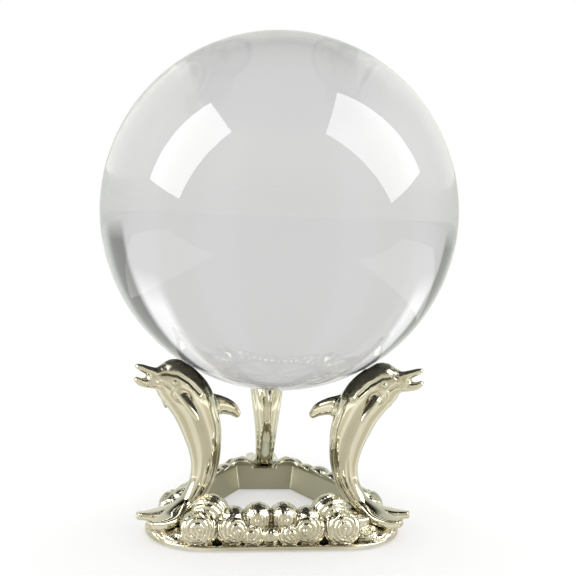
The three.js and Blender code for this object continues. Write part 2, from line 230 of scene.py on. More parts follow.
DOLPHIN_STEP = 0.27
RING_STEP = 0.345
BALL_CELLS = 96
DOLPHIN_BOX = ((11.2, -11.9, 3.0), (49.4, 11.9, 53.4))
RING_HEIGHTS = (-0.9, 14.5)
RING_MARGIN = 1.5
POINTS_AT_ONCE = 150000

# ---- Studio, in metres, degrees and watts ----

TABLE_RADIUS = 4
TABLE_SIDES = 96
TABLE_EMISSION = 0.36
SOFTBOX_DISTANCE = 0.9
SOFTBOXES = {  # azimuth, elevation, spin, width, height, power
    "softbox_left": (-70, 30, -21, 0.44, 0.73, 6),
    "softbox_right": (64, 36, 30, 0.54, 0.86, 7),
}
TABLE_GLOWS = {"table_glow_left": -0.36, "table_glow_right": 0.36}  # place along X
TABLE_GLOW_SIZE = (0.42, 0.30)
TABLE_GLOW_PLACE = (-0.02, 0.002)
TABLE_GLOW_POWER = 0.25
CAMERA_DISTANCE = 0.240
CAMERA_HEIGHT = 0.08809
CAMERA_ANGLES = (5.36, 0.81, 3.55, 1.96)  # turn about the part, then yaw, pitch and roll
SENSOR = 36
LENS = 47.493125


# ---- Distance fields, in millimetres, negative inside ----


def smooth_min(a, b, blend):
    near = np.maximum(blend - np.abs(a - b), 0) / blend
    return np.minimum(a, b) - near * near * blend / 4


def smooth_max(a, b, blend):
    return -smooth_min(-a, -b, blend)


def unit(v):
    return v / np.linalg.norm(v, axis=-1, keepdims=True)


def spline(stations, per_span):
    """Points on a centripetal Catmull-Rom curve through the stations, which begin with a place."""
    p = np.array(stations, float)
    p = np.vstack([2 * p[0] - p[1], p, 2 * p[-1] - p[-2]])
    chord = np.sqrt(np.linalg.norm(np.diff(p[:, :3], axis=0), axis=1))
    rows = []
    for i in range(1, len(p) - 2):
        d0, d1, d2 = chord[i - 1], chord[i], chord[i + 1]
        t1 = ((p[i] - p[i - 1]) / d0 - (p[i + 1] - p[i - 1]) / (d0 + d1) + (p[i + 1] - p[i]) / d1) * d1
        t2 = ((p[i + 1] - p[i]) / d1 - (p[i + 2] - p[i]) / (d1 + d2) + (p[i + 2] - p[i + 1]) / d2) * d1
        for s in np.arange(per_span) / per_span:
            rows.append(
                (2 * s**3 - 3 * s**2 + 1) * p[i] + (s**3 - 2 * s**2 + s) * t1
                + (3 * s**2 - 2 * s**3) * p[i + 1] + (s**3 - s**2) * t2
            )
    rows.append(p[-2])
    return np.array(rows)


class Sweep:
    """A rounded body with an elliptical section, swept along a curve."""

    def __init__(self, stations, face, power=2, per_span=10):
        self.power = power
        rows = [[s[0], 0, *s[1:]] if len(s) == 4 else s for s in stations]
        path = spline(rows, per_span)
        self.per_span = per_span
        self.centre = path[:, :3]
        self.size = np.maximum(path[:, 3:5], 0.1)
        self.tangent = unit(np.gradient(self.centre, axis=0))
        self.across = unit(np.cross(np.array(face, float), self.tangent))
        self.beside = np.cross(self.tangent, self.across)
        reach = self.size.max(1, keepdims=True) + 3
        self.low = (self.centre - reach).min(0)
        self.high = (self.centre + reach).max(0)

    def local(self, p):
        """Where each point lies: distance, station, and place in the section."""
        c = self.centre
        near = np.argmin((c * c).sum(1)[None, :] - 2 * p @ c.T, axis=1)
        along = ((p - c[near]) * self.tangent[near]).sum(1)
        step = np.where(along > 0, 1, -1)
        other = np.clip(near + step, 0, len(c) - 1)
        gap = np.linalg.norm(c[other] - c[near], axis=1)
        share = np.where(gap > 0, np.clip(np.abs(along) / np.maximum(gap, 1e-9), 0, 1), 0)[:, None]

        def between(values):
            return values[near] * (1 - share) + values[other] * share

        offset = p - between(c)
        across, beside, tangent = between(self.across), between(self.beside), between(self.tangent)
        u = (offset * across).sum(1)
        v = (offset * beside).sum(1)
        s = (offset * tangent).sum(1)
        s = np.where((near == 0) | (near == len(c) - 1), s, 0)
        size = between(self.size)
        a, b = size[:, 0], size[:, 1]
        end = size.min(1)
        n = self.power
        k0 = (np.abs(u / a) ** n + np.abs(v / b) ** n + np.abs(s / end) ** n) ** (1 / n)
        slope = [(np.abs(w / h) ** (n - 1) / h) ** 2 for w, h in ((u, a), (v, b), (s, end))]
        d = (k0 - 1) * np.maximum(k0, 1e-3) ** (n - 1) / np.sqrt(np.maximum(sum(slope), 1e-12))
        t = (near + share[:, 0] * step) / self.per_span
        return d, t, u, v, a, b

    def distance(self, p):
        """The distance alone, worked out only near the body."""
        d = np.full(len(p), FAR)
        close = ((p > self.low) & (p < self.high)).all(1)
        if close.any():
            d[close] = self.local(p[close])[0]
        return d


def line_distance(points, line):
    """Distance of 2-D points from a bent line."""
    line = np.array(line, float)
    best = np.full(len(points), 1e9)
    for a, b in zip(line[:-1], line[1:]):
        d = b - a
        t = np.clip(((points - a) @ d) / (d @ d), 0, 1)
        best = np.minimum(best, np.linalg.norm(points - a - t[:, None] * d, axis=1))
    return best


def band(t, start, end, soft):
    """1 between start and end, fading out over soft at both ends."""
    return np.clip((t - start) / soft, 0, 1) * np.clip((end - t) / soft, 0, 1)


body_sweep = Sweep(BODY, MIDLINE_FACE)
upper_beak = Sweep(UPPER_BEAK, MIDLINE_FACE)
lower_beak = Sweep(LOWER_BEAK, MIDLINE_FACE)
fin_sweep = Sweep(DORSAL_FIN, MIDLINE_FACE)
flipper_sweep = Sweep(FLIPPER, FLIPPER_FACE)
fluke_sweep = Sweep(FLUKE, FLUKE_FACE, power=FLUKE_POWER)


def groove(distance, depth, half_width):
    """How deep a groove is at a distance from its line."""
    return depth * np.exp(-((distance / half_width) ** 2))


def strands(distance, depth, pitch):
    """How deep even strands are at a distance across them."""
    return depth * (0.5 + 0.5 * np.cos(distance * 2 * math.pi / pitch))


def ellipsoid_distance(p, half):
    half = np.array(half, float)
    k0 = np.linalg.norm(p / half, axis=1)
    k1 = np.linalg.norm(p / half**2, axis=1)
    return k0 * (k0 - 1) / np.maximum(k1, 1e-6)


def drum_distance(p, half, power=3):
    """An ellipsoid whose outward face is flattened."""
    half = np.array(half, float)
    q = p / half
    flat = np.hypot(q[:, 0], q[:, 2])
    k0 = (flat**power + np.abs(q[:, 1]) ** power) ** (1 / power)
    around = flat ** (power - 2)
    slope = np.column_stack([around * q[:, 0], np.abs(q[:, 1]) ** (power - 1), around * q[:, 2]]) / half
    return (k0 - 1) * np.maximum(k0, 1e-3) ** (power - 1) / np.maximum(np.linalg.norm(slope, axis=1), 1e-9)


def trunk_field(p):
    """The trunk and the flukes, for points with y >= 0."""
    d, t, u, v, a, b = body_sweep.local(p)
    angle = np.degrees(np.arctan2(np.abs(v) / b, u / a))
    from_line = np.sqrt(a * b) * np.radians(angle - SIDE_LINE_ANGLE)
    d = d + groove(from_line, *SIDE_LINE_GROOVE) * band(t, *SIDE_LINE_STATIONS)
    ribs = strands(angle - RIB_MIDDLE, RIB_DEPTH, RIB_SPACING)
    d = d + ribs * band(angle, *RIB_ANGLES) * band(t, *RIB_STATIONS)
    return smooth_min(d, fluke_sweep.distance(p), FIN_BLEND)


def smoothed_trunk_field(p):
    """The trunk with the crease across its throat evened out."""
    d = trunk_field(p)
    share = np.clip(2 - np.hypot(p[:, 0] - CREASE[0], p[:, 2] - CREASE[1]) / CREASE_REACH, 0, 1)
    near = share > 0
    if near.any():
        even = np.mean([trunk_field(p[near] + [x, 0, z]) for x, z in CREASE_SPREAD], axis=0)
        d[near] += share[near] * (even - d[near])
    return d


def post_distance(p, radius, low, high):
    """An upright post on the axis of the fixing screw."""
    across = np.hypot(p[:, 0] - SCREW_OUT, p[:, 1]) - radius
    return np.maximum(across, np.maximum(low - p[:, 2], p[:, 2] - high))


def pad_recess_distance(p):
    """The round recess of the contact pad, whose axis goes through the ball's centre."""
    axis = np.array([PAD_OUT, 0, -math.sqrt(BALL_RADIUS**2 - PAD_OUT**2)]) / BALL_RADIUS
    from_centre = p - BALL_CENTRE
    along = from_centre @ axis
    across = np.linalg.norm(from_centre - along[:, None] * axis, axis=1)
    return np.maximum(across - PAD_RADIUS - FIT_GAP, along - BALL_RADIUS - PAD_DEPTH)


def face_grooves(p):
    """How deep the face is cut: the mouth and the eye together, and the brow alone."""
    flat = p[:, [0, 2]]
    start, fade = FACE_START
    side = np.clip((p[:, 1] - start) / fade, 0, 1)
    eye = np.hypot(flat[:, 0] - EYE[0], flat[:, 1] - EYE[1])
    depth = groove(line_distance(flat, MOUTH), *MOUTH_GROOVE) + groove(eye - EYE_RADIUS, *EYE_GROOVE)
    depth = depth - EYE_RISE * np.exp(-((eye / EYE_DOME) ** 4))
    return side * depth, side * groove(line_distance(flat, BROW), *BROW_GROOVE)


def dolphin_field(p):
    """A dolphin, with the boss under its tail and the recesses for its screw and its pad."""
    p = np.column_stack([p[:, 0], np.abs(p[:, 1]), p[:, 2]])
    face, brow = face_grooves(p)
    throat = ellipsoid_distance(p - THROAT, THROAT_HALF)
    d = smooth_min(smoothed_trunk_field(p), throat, THROAT_BLEND) + brow
    d = smooth_min(d, upper_beak.distance(p), UPPER_BEAK_BLEND)
    d = smooth_min(d, lower_beak.distance(p), LOWER_BEAK_BLEND) + face
    d = smooth_min(d, fin_sweep.distance(p), FIN_BLEND)
    flipper = flipper_sweep.distance(p)
    d = d + groove(flipper - FLIPPER_GROOVE_GAP, *FLIPPER_GROOVE)
    d = smooth_min(d, flipper, FLIPPER_BLEND)
    d = np.minimum(d, post_distance(p, BOSS_RADIUS, BOSS_BOTTOM, BOSS_TOP))
    d = np.maximum(d, -post_distance(p, SCREW_RADIUS + FIT_GAP, 0, SCREW_TIP + FIT_GAP))
    return np.maximum(d, -pad_recess_distance(p))


def spiral_groove(a, b, pitch, hand):
    """How deep a spiral groove is, from 0 to 1, with its turns closer below its start."""
    radius = np.hypot(a, b)
    angle = np.arctan2(b, a)
    stretched = radius * (1 + SPIRAL_CROWDING * np.cos(angle + math.pi / 2 + 0.5 * hand))
    wander = SPIRAL_WANDER * np.sin(3 * angle + 2 * a)
    phase = stretched / pitch - hand * angle / (2 * math.pi) + wander
    off = (phase - np.floor(phase) - 0.5) * pitch
    return groove(off, 1, SPIRAL_WIDTH * pitch) * np.clip(radius / (0.5 * pitch), 0, 1)


def wave_field(relief, wave):
    """One wave: its points are along the side, out and up."""
    p = relief - wave.centre
    if wave.pitch == 0:
        return ellipsoid_distance(p, wave.half)
    smooth_top = wave.smooth_above < 1
    d = ellipsoid_distance(p, wave.half) if smooth_top else drum_distance(p, wave.half)
    lean = math.radians(wave.lean)
    up = -math.sin(lean) * p[:, 1] + math.cos(lean) * p[:, 2]
    facing = math.cos(lean) * p[:, 1] + math.sin(lean) * p[:, 2]
    front = np.clip((facing / wave.half[1] + 0.15) / 0.35, 0, 1)
    low = np.clip((wave.smooth_above - up / wave.half[2]) / 0.3, 0, 1)
    spiral = spiral_groove(p[:, 0] - wave.start[0], up - wave.start[1], wave.pitch, wave.hand)
    return d + SCROLL_DEPTH * spiral * front * low


def with_waves(d, relief, here, waves):
    """The field with the waves of half a side blended in, where here is true."""
    from_curl = (relief - waves["great curl"].centre - CURL_RISE) * CURL_SQUEEZE
    curl = np.linalg.norm(from_curl, axis=1)
    start, fade = CREST_STRANDS_START
    crest_strands = strands(curl, *CREST_STRANDS) * np.clip((curl - start) / fade, 0, 1)
    for name, wave in waves.items():
        reach = here & (np.abs(relief - wave.centre) < np.array(wave.half) + WAVE_REACH).all(1)
        bump = np.full(len(d), FAR)
        bump[reach] = wave_field(relief[reach], wave)
        if name == "crest":
            bump = bump + crest_strands
        d = smooth_min(d, bump, WAVE_BLEND)
    return d


def folded(p):
    """The points folded into one sixth of the ring, seen from the nearest corner and the nearest side."""
    r = np.hypot(p[:, 0], p[:, 1])
    around = np.degrees(np.arctan2(p[:, 1], p[:, 0])) - CORNERS["back"]
    from_corner = np.abs((around + 60) % 120 - 60)
    from_side = np.radians(60 - from_corner)
    from_corner = np.radians(from_corner)
    corner = np.column_stack([r * np.cos(from_corner), r * np.sin(from_corner), p[:, 2]])
    side = np.column_stack([r * np.sin(from_side), r * np.cos(from_side), p[:, 2]])
    return corner, side


def rim_distance(corner, side):
    """Distance from the outline of the rim, whose straight sides meet in round corners."""
    beyond = corner[:, 0] - 2 * (SIDE_DISTANCE - CORNER_RADIUS)
    aside = corner[:, 1]
    on_circle = (np.arctan2(aside, beyond) < math.pi / 3) & (beyond > CORNER_START)
    return np.where(on_circle, np.hypot(beyond, aside) - CORNER_RADIUS, side[:, 1] - SIDE_DISTANCE)


def slab_distance(outline, z, low, high, rounding):
    """A flat body from low to high with rounded edges."""
    dx = outline + rounding
    dz = np.abs(z - (low + high) / 2) - (high - low) / 2 + rounding
    outside = np.hypot(np.maximum(dx, 0), np.maximum(dz, 0))
    return np.minimum(np.maximum(dx, dz), 0) + outside - rounding


def lobe_field(corner):
    """The mound of strands under a tail."""
    out, aside, up = corner.T
    across = up + LOBE_FALL * aside - LOBE_BEND * np.hypot(out - LOBE[0], aside)
    return ellipsoid_distance(corner - LOBE, LOBE_HALF) + strands(across, *LOBE_STRANDS)


def hole_distance(corner, side):
    """The six-sided hole, which widens upward and turns in a little above the wall."""
    rise = (corner[:, 2] - FLOOR) / (WALL_TOP - FLOOR)
    flare = 1 + HOLE_FLARE * np.clip(rise, 0, 1) - HOLE_LIP * np.clip((rise - 1) * 3, 0, 1)
    return np.maximum(side[:, 1] - HOLE_LONG_APOTHEM * flare, corner[:, 0] - HOLE_SHORT_APOTHEM * flare)


def base_field(p):
    """The base ring."""
    x, y, z = p.T
    corner, side = folded(p)
    rim = rim_distance(corner, side)
    skirt = slab_distance(rim, z, FLOOR, RIM_TOP, RIM_ROUNDING)
    core = slab_distance(rim + UPPER_INSET, z, FLOOR + 1, CORE_TOP, CORE_ROUNDING)
    d = smooth_min(skirt, core, 0.8)
    d = smooth_min(d, lobe_field(corner), 0.3)

    front = (y < 0) & (np.abs(x) < -y * math.tan(math.pi / 3))
    relief = side.copy()
    relief[front, 0] = np.abs(x[front] + FRONT_SHIFT)
    d = with_waves(d, relief, front, FRONT_WAVES)
    d = with_waves(d, relief, ~front, REAR_WAVES)

    d = np.maximum(d, FLOOR - z)
    d = smooth_max(d, -hole_distance(corner, side), 0.3)
    tail_near = (corner[:, 0] > 20) & (corner[:, 1] < 11)
    tail = np.full(len(p), FAR)
    tail[tail_near] = trunk_field(corner[tail_near])
    d = smooth_max(d, SEAM - tail, 0.15)
    for radius, top, out, aside in HOLLOWS:
        across = np.hypot(corner[:, 0] - out, corner[:, 1] - aside) - radius
        d = np.maximum(d, -np.maximum(across, z - top))
    boss = post_distance(corner, BOSS_RADIUS + FIT_GAP, BOSS_BOTTOM - FIT_GAP, 2 * WALL_TOP)
    screw = post_distance(corner, SCREW_RADIUS + FIT_GAP, 0, WALL_TOP)
    return np.maximum(d, -np.minimum(boss, screw))


# ---- Meshes from fields ----


def sample(field, low, high, step, mirror):
    """The field on a grid. With mirror, only the half with y >= 0 is worked out."""
    axes = [np.arange(math.ceil((b - a) / step) + 1) * step + a for a, b in zip(low, high)]
    if mirror:
        half = np.arange(math.ceil(high[1] / step) + 1) * step
        axes[1] = half
    grid = np.stack(np.meshgrid(*axes, indexing="ij"), -1).reshape(-1, 3)
    parts = np.array_split(grid, max(1, len(grid) // POINTS_AT_ONCE))
    values = np.concatenate([field(part) for part in parts])
    values = values.reshape([len(a) for a in axes])
    if mirror:
        values = np.concatenate([values[:, :0:-1], values], axis=1)
        axes[1] = np.concatenate([-axes[1][:0:-1], axes[1]])
    return values, np.array([a[0] for a in axes])


def surface_nets(values, origin, step):
    """Points and four-sided faces on the surface between the grid's inside and its outside."""
    inside = values < 0
    shape = np.array(values.shape) - 1
    offsets = np.array([[i, j, k] for i in (0, 1) for j in (0, 1) for k in (0, 1)])

    def block(a, offset):
        return a[tuple(slice(o, o + n) for o, n in zip(offset, shape))]

    count = sum(block(inside, o).astype(np.int8) for o in offsets)
    mixed = (count > 0) & (count < 8)
    cells = np.argwhere(mixed)
    index = np.full(shape, -1, np.int64)
    index[mixed] = np.arange(len(cells))
    total = np.zeros((len(cells), 3))
    number = np.zeros(len(cells))
    for axis in range(3):
        e = np.eye(3, dtype=int)[axis]
        for o in offsets[offsets[:, axis] == 0]:
            a = values[tuple((cells + o).T)]
            b = values[tuple((cells + o + e).T)]
            crossing = (a < 0) != (b < 0)
            t = np.where(crossing, a / np.where(crossing, a - b, 1), 0)
            total += np.where(crossing[:, None], o + t[:, None] * e, 0)
            number += crossing
    points = origin + step * (cells + total / number[:, None])

    quads = []
    for axis in range(3):
        u, v = (axis + 1) % 3, (axis + 2) % 3
        low = [slice(None)] * 3
        high = [slice(None)] * 3
        low[axis], high[axis] = slice(0, -1), slice(1, None)
        a, b = inside[tuple(low)], inside[tuple(high)]
        edges = np.argwhere(a != b)
        ok = (edges[:, u] > 0) & (edges[:, v] > 0) & (edges[:, u] < shape[u]) & (edges[:, v] < shape[v])
        edges = edges[ok]
        eu, ev = np.eye(3, dtype=int)[u], np.eye(3, dtype=int)[v]
        quad = np.column_stack([index[tuple((edges - s).T)] for s in (0 * eu, eu, eu + ev, ev)])
        flip = ~a[tuple(edges.T)]
        quad[flip] = quad[flip][:, ::-1]
        quads.append(quad)
    return points, np.vstack(quads)


def gradient(field, p, h=0.05):
    return np.column_stack([(field(p + h * e) - field(p - h * e)) / (2 * h) for e in np.eye(3)])


def pulled_on(field, points, step, rounds=2):
    """Moves the points onto the field's zero surface."""
    for _ in range(rounds):
        g = gradient(field, points)
        g2 = np.maximum((g * g).sum(1), 0.2)
        shift = -(field(points) / g2)[:, None] * g
        length = np.linalg.norm(shift, axis=1, keepdims=True)
        points = points + shift * np.minimum(1, 0.5 * step / np.maximum(length, 1e-9))
    return points


def cavity(field, points, reach=1.2):
    """How shut in the surface is at each point, from 0 on open faces to 1 deep in a groove."""
    normal = unit(gradient(field, points) + 1e-9)
    return np.clip(1 - field(points + reach * normal) / reach, 0, 1)


def in_hole(points):
    """1 on the wall of the middle hole and 0 elsewhere."""
    corner, side = folded(points)
    reach = np.maximum(side[:, 1] / HOLE_LONG_APOTHEM, corner[:, 0] / HOLE_SHORT_APOTHEM)
    flare = 1 + HOLE_FLARE * (points[:, 2] - FLOOR) / (WALL_TOP - FLOOR)
    return np.clip(1 - np.abs(reach - flare) / 0.03, 0, 1) * (points[:, 2] < CORE_TOP + 2)


def turned(points, degrees):
    c, s = math.cos(math.radians(degrees)), math.sin(math.radians(degrees))
    return points @ np.array([[c, s, 0], [-s, c, 0], [0, 0, 1]])


def cast(field, low, high, step, mirror=False):
    """The field's surface as points and faces, and how shut in each point is."""
    values, origin = sample(field, low, high, step, mirror)
    points, quads = surface_nets(values, origin, step)
    points = pulled_on(field, points, step)
    return points, quads, cavity(field, points)


def cube_sphere(radius, cells):
    """A sphere of even square faces."""
    line = np.tan(np.linspace(-math.pi / 4, math.pi / 4, cells + 1))
    a, b = np.meshgrid(line, line, indexing="ij")
    one = np.ones_like(a)
    points, quads = [], []
    start = 0
    for axis in range(3):
        for sign in (-1, 1):
            sheet = [None] * 3
            sheet[axis], sheet[(axis + 1) % 3], sheet[(axis + 2) % 3] = sign * one, a, b
            points.append(np.stack(sheet, -1).reshape(-1, 3))
            i = np.arange(cells * (cells + 1)).reshape(cells, cells + 1)[:, :-1].ravel() + start
            quad = np.column_stack([i, i + cells + 1, i + cells + 2, i + 1])
            quads.append(quad if sign > 0 else quad[:, ::-1])
            start += (cells + 1) ** 2
    points = unit(np.vstack(points)) * radius
    keys, first, back = np.unique(np.round(points, 5), axis=0, return_index=True, return_inverse=True)
    return points[first], back.reshape(-1)[np.vstack(quads)]


# ---- Materials ----


def linked(tree, kind, values, **settings):
    """A node with its inputs set or linked."""
    node = tree.nodes.new(kind)
    for key, value in settings.items():
        setattr(node, key, value)
    for key, value in values.items():
        if isinstance(value, bpy.types.NodeSocket):
            tree.links.new(value, node.inputs[key])
        else:
            node.inputs[key].default_value = value
    return node


def worked_out(tree, operation, a, b=0.0):
    """The result of a math node."""
    return linked(tree, "ShaderNodeMath", {0: a, 1: b}, operation=operation).outputs[0]


def mixed(tree, factor, a, b, blend="MIX"):
    """Two colours mixed."""
    values = {0: factor, 6: a, 7: b}
    return linked(tree, "ShaderNodeMix", values, data_type="RGBA", blend_type=blend).outputs[2]


def fitted(tree, value, low, high, to_low=0.0, to_high=1.0):
    """A value brought from one range into another, and held at its ends."""
    values = {"Value": value, "From Min": low, "From Max": high, "To Min": to_low, "To Max": to_high}
    return linked(tree, "ShaderNodeMapRange", values).outputs[0]


def coloured(tree, value, stops, interpolation="LINEAR"):
    """The colour that stops of (position, colour) give a value."""
    node = linked(tree, "ShaderNodeValToRGB", {0: value})
    ramp = node.color_ramp
    ramp.interpolation = interpolation
    for position, colour in stops[1:-1]:
        ramp.elements.new(position).color = (*colour, 1)
    for element, (position, colour) in ((ramp.elements[0], stops[0]), (ramp.elements[-1], stops[-1])):
        element.position = position
        element.color = (*colour, 1)
    return node.outputs[0]


class Finish:
    """A node material around one Principled shader."""

    def __init__(self, name, **values):
        self.material = bpy.data.materials.new(name)
        self.material.use_nodes = True
        self.tree = self.material.node_tree
        self.tree.nodes.clear()
        self.shader = self.tree.nodes.new("ShaderNodeBsdfPrincipled")
        output = self.tree.nodes.new("ShaderNodeOutputMaterial")
        self.tree.links.new(self.shader.outputs[0], output.inputs["Surface"])
        for key, value in values.items():
            self.shader.inputs[key.replace("_", " ")].default_value = value
        self.place = self.tree.nodes.new("ShaderNodeTexCoord").outputs["Object"]

    def noise(self, scale, detail=3.0, rough=0.55, distortion=0.0):
        values = {"Scale": scale, "Detail": detail, "Roughness": rough, "Distortion": distortion}
        return linked(self.tree, "ShaderNodeTexNoise", {"Vector": self.place, **values}).outputs["Fac"]

    def upright_noise(self, scale, squeeze):
        """Noise squeezed along Z."""
        values = {"Vector": self.place, "Scale": (1, 1, squeeze)}
        place = linked(self.tree, "ShaderNodeMapping", values).outputs[0]
        values = {"Vector": place, "Scale": scale, "Detail": 2.0}
        return linked(self.tree, "ShaderNodeTexNoise", values).outputs["Fac"]

    def ramp(self, value, low, high, to_low=0.0, to_high=1.0):
        return fitted(self.tree, value, low, high, to_low, to_high)

    def mix(self, factor, a, b, blend="MIX"):
        return mixed(self.tree, factor, a, b, blend)

    def math(self, operation, a, b):
        return worked_out(self.tree, operation, a, b)

    def attribute(self, name):
        return linked(self.tree, "ShaderNodeAttribute", {}, attribute_name=name).outputs["Fac"]

    def parts(self):
        """The place as X, Y and Z."""
        return linked(self.tree, "ShaderNodeSeparateXYZ", {"Vector": self.place}).outputs

    def bump(self, height, distance, strength=1.0, under=None):
        values = {"Height": height, "Distance": distance, "Strength": strength}
        if under is not None:
            values["Normal"] = under
        return linked(self.tree, "ShaderNodeBump", values).outputs[0]

    def dents(self, scale, detail, where):
        """Noise about zero, only where asked for."""
        about_zero = self.math("SUBTRACT", self.noise(scale, detail), 0.5)
        return self.math("MULTIPLY", about_zero, where)

    def set(self, name, value):
        self.tree.links.new(value, self.shader.inputs[name])


def champagne_chrome():
    """Bright pale gold plating, dull on the wall of the hole, with painted shade darkening that wall and
    its grooves.
    """
    f = Finish("champagne_chrome", Metallic=1.0)
    shut = f.ramp(f.attribute("cavity"), 0.25, 0.95)
    wall = f.ramp(f.attribute("wall"), 0.1, 0.6)
    plate = f.mix(f.ramp(f.noise(70, 3), 0.35, 0.68), *PLATE)
    fleck = f.ramp(f.noise(900, 2), 0.66, 0.74)
    plate = f.mix(f.math("MULTIPLY", fleck, 0.35), plate, PLATE_FLECK)
    # painted shade: the wall of the hole darkened in colour
    plate = f.mix(f.math("MULTIPLY", wall, 0.75), plate, PLATE_INNER_WALL_SHADE)
    # painted shade: grooves and hollows darkened by how shut in they are
    f.set("Base Color", f.mix(f.math("MULTIPLY", shut, 0.6), plate, PLATE_GROOVE_SHADE))
    smear = f.ramp(f.noise(45, 4, 0.6, 0.4), 0.45, 0.75, 0.035, 0.11)
    scratch = f.ramp(f.upright_noise(260, 7), 0.60, 0.74, 0.0, 0.10)
    rough = f.math("ADD", smear, scratch)
    rough = f.math("ADD", rough, f.math("MULTIPLY", wall, 0.38))
    f.set("Roughness", f.math("ADD", rough, f.math("MULTIPLY", shut, 0.10)))
    surface = f.bump(f.noise(110, 2), 0.00012, 0.5)
    on_head = f.ramp(f.parts()["Z"], *HEAD_START)
    surface = f.bump(f.dents(520, 2, on_head), 0.00034, 0.6, surface)
    surface = f.bump(f.dents(640, 3, f.attribute("relief")), 0.00045, 0.8, surface)
    f.set("Normal", f.bump(f.noise(1400, 3), 0.000012, 0.5, surface))
    return f.material


def crystal():
    """Clear glass with a few faint smudges."""
    f = Finish("crystal", IOR=1.52, Transmission_Weight=1.0)
    f.set("Base Color", f.mix(f.ramp(f.noise(14, 2), 0.3, 0.7), *GLASS))
    f.set("Roughness", f.ramp(f.noise(32, 5, 0.62, 1.2), 0.60, 0.80, 0.0, 0.012))
    f.set("Normal", f.bump(f.noise(55, 1), 0.00001, 0.2))
    return f.material


def zinc_steel():
    f = Finish("zinc_plated_steel", Metallic=1.0)
    f.set("Base Color", f.mix(f.ramp(f.noise(500, 3), 0.35, 0.7), *STEEL))
    f.set("Roughness", f.ramp(f.noise(900, 3), 0.3, 0.7, 0.22, 0.45))
    f.set("Normal", f.bump(f.noise(2500, 3), 0.00002, 0.5))
    return f.material


def clear_silicone():
    f = Finish("clear_silicone", IOR=1.41, Transmission_Weight=0.75)
    f.set("Base Color", f.mix(f.ramp(f.noise(260, 3), 0.3, 0.7), *SILICONE))
    f.set("Roughness", f.ramp(f.noise(800, 3), 0.3, 0.75, 0.22, 0.42))
    f.set("Normal", f.bump(f.noise(1500, 3), 0.00002, 0.5))
    return f.material


# ---- The object ----


def placed(thing, name):
    """A new object in the scene."""
    made = bpy.data.objects.new(name, thing)
    bpy.context.scene.collection.objects.link(made)
    return made


def add_piece(name, points, quads, finish, **fields):
    """A smooth mesh with a value at each point for each of the named fields."""
    mesh = bpy.data.meshes.new(name)
    mesh.from_pydata((points * MM).tolist(), [], quads.tolist())
    mesh.update()
    mesh.shade_smooth()
    mesh.materials.append(finish)
    for field, values in fields.items():
        layer = mesh.attributes.new(field, "FLOAT", "POINT")
        layer.data.foreach_set("value", values.astype(np.float32))
    return placed(mesh, name)


def add_dolphins(finish):
    points, quads, shut = cast(dolphin_field, *DOLPHIN_BOX, DOLPHIN_STEP, mirror=True)
    for place, degrees in CORNERS.items():
        dolphin = add_piece(f"dolphin_body_{place}", turned(points, degrees), quads, finish, cavity=shut)
        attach(dolphin, "stand")
        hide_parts(f"dolphin_{place}")


def add_ring(finish):
    low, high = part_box("base_ring")
    low = [v / MM - RING_MARGIN for v in low[:2]] + [RING_HEIGHTS[0]]
    high = [v / MM + RING_MARGIN for v in high[:2]] + [RING_HEIGHTS[1]]
    points, quads, shut = cast(base_field, low, high, RING_STEP)
    wall = in_hole(points)
    relief = (1 - wall) * np.clip((points[:, 2] - RIM_TOP) / 0.8, 0, 1)
    ring = add_piece("wave_base_ring", points, quads, finish, cavity=shut, wall=wall, relief=relief)
    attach(ring, "stand")
    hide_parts("base_ring")


def add_ball(finish):
    points, quads = cube_sphere(BALL_RADIUS, BALL_CELLS)
    ball = add_piece("ball", points + BALL_CENTRE, quads, finish)
    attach(ball, "ball")
    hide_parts("crystal_ball")


def dress_small_pieces(steel, silicone):
    """The CAD's own screws, washers, feet and pads are shown as they are, with materials."""
    for name, node in frame["nodes"].items():
        if node.hide_render:
            continue
        soft = name.startswith(("rubber", "contact"))
        node.data.materials.clear()
        node.data.materials.append(silicone if soft else steel)


# ---- Studio ----


def upright_bands(tree, x, y):
    """Tints of the room and the table by direction, which give the metal its upright bands."""
    turn = worked_out(tree, "ARCTAN2", x, worked_out(tree, "MULTIPLY", y, -1.0))
    share = worked_out(tree, "DIVIDE", worked_out(tree, "ABSOLUTE", turn), math.pi)
    stops = [
        (0.0, (0.74, 0.71, 0.60)), (0.12, (0.78, 0.75, 0.64)), (0.20, (1.12, 1.11, 1.05)),
        (0.26, (1.08, 1.06, 0.98)), (0.33, (0.80, 0.76, 0.62)), (0.42, (0.84, 0.80, 0.66)),
        (0.48, (1.15, 1.14, 1.08)), (0.55, (0.98, 1.0, 0.94)), (0.64, (0.70, 0.73, 0.66)),
        (0.80, (0.84, 0.88, 0.82)), (1.0, (1.0, 1.02, 0.98)),
    ]
    return coloured(tree, share, stops, "EASE")


def stage_table():
    angles = [2 * math.pi * k / TABLE_SIDES for k in range(TABLE_SIDES)]
    rim = [(TABLE_RADIUS * math.cos(a), TABLE_RADIUS * math.sin(a), 0) for a in angles]
    mesh = bpy.data.meshes.new("floor")
    mesh.from_pydata(rim, [], [list(range(TABLE_SIDES))])
    f = Finish("floor", Roughness=0.9, Emission_Strength=TABLE_EMISSION)
    place = f.parts()
    depth = linked(f.tree, "ShaderNodeLightPath", {}).outputs["Glossy Depth"]
    in_a_mirror = f.math("GREATER_THAN", depth, 0.5)
    tint = f.mix(in_a_mirror, (1, 1, 1, 1), upright_bands(f.tree, place["X"], place["Y"]))
    f.set("Base Color", f.mix(1.0, f.mix(f.noise(3, 2), *TABLE), tint, "MULTIPLY"))
    f.set("Emission Color", tint)
    mesh.materials.append(f.material)
    placed(mesh, "floor")


def area_light(name, width, height, power):
    light = bpy.data.lights.new(name, "AREA")
    light.shape = "RECTANGLE"
    light.size, light.size_y = width, height
    light.energy = power
    lamp = placed(light, name)
    lamp.visible_diffuse = False
    return lamp


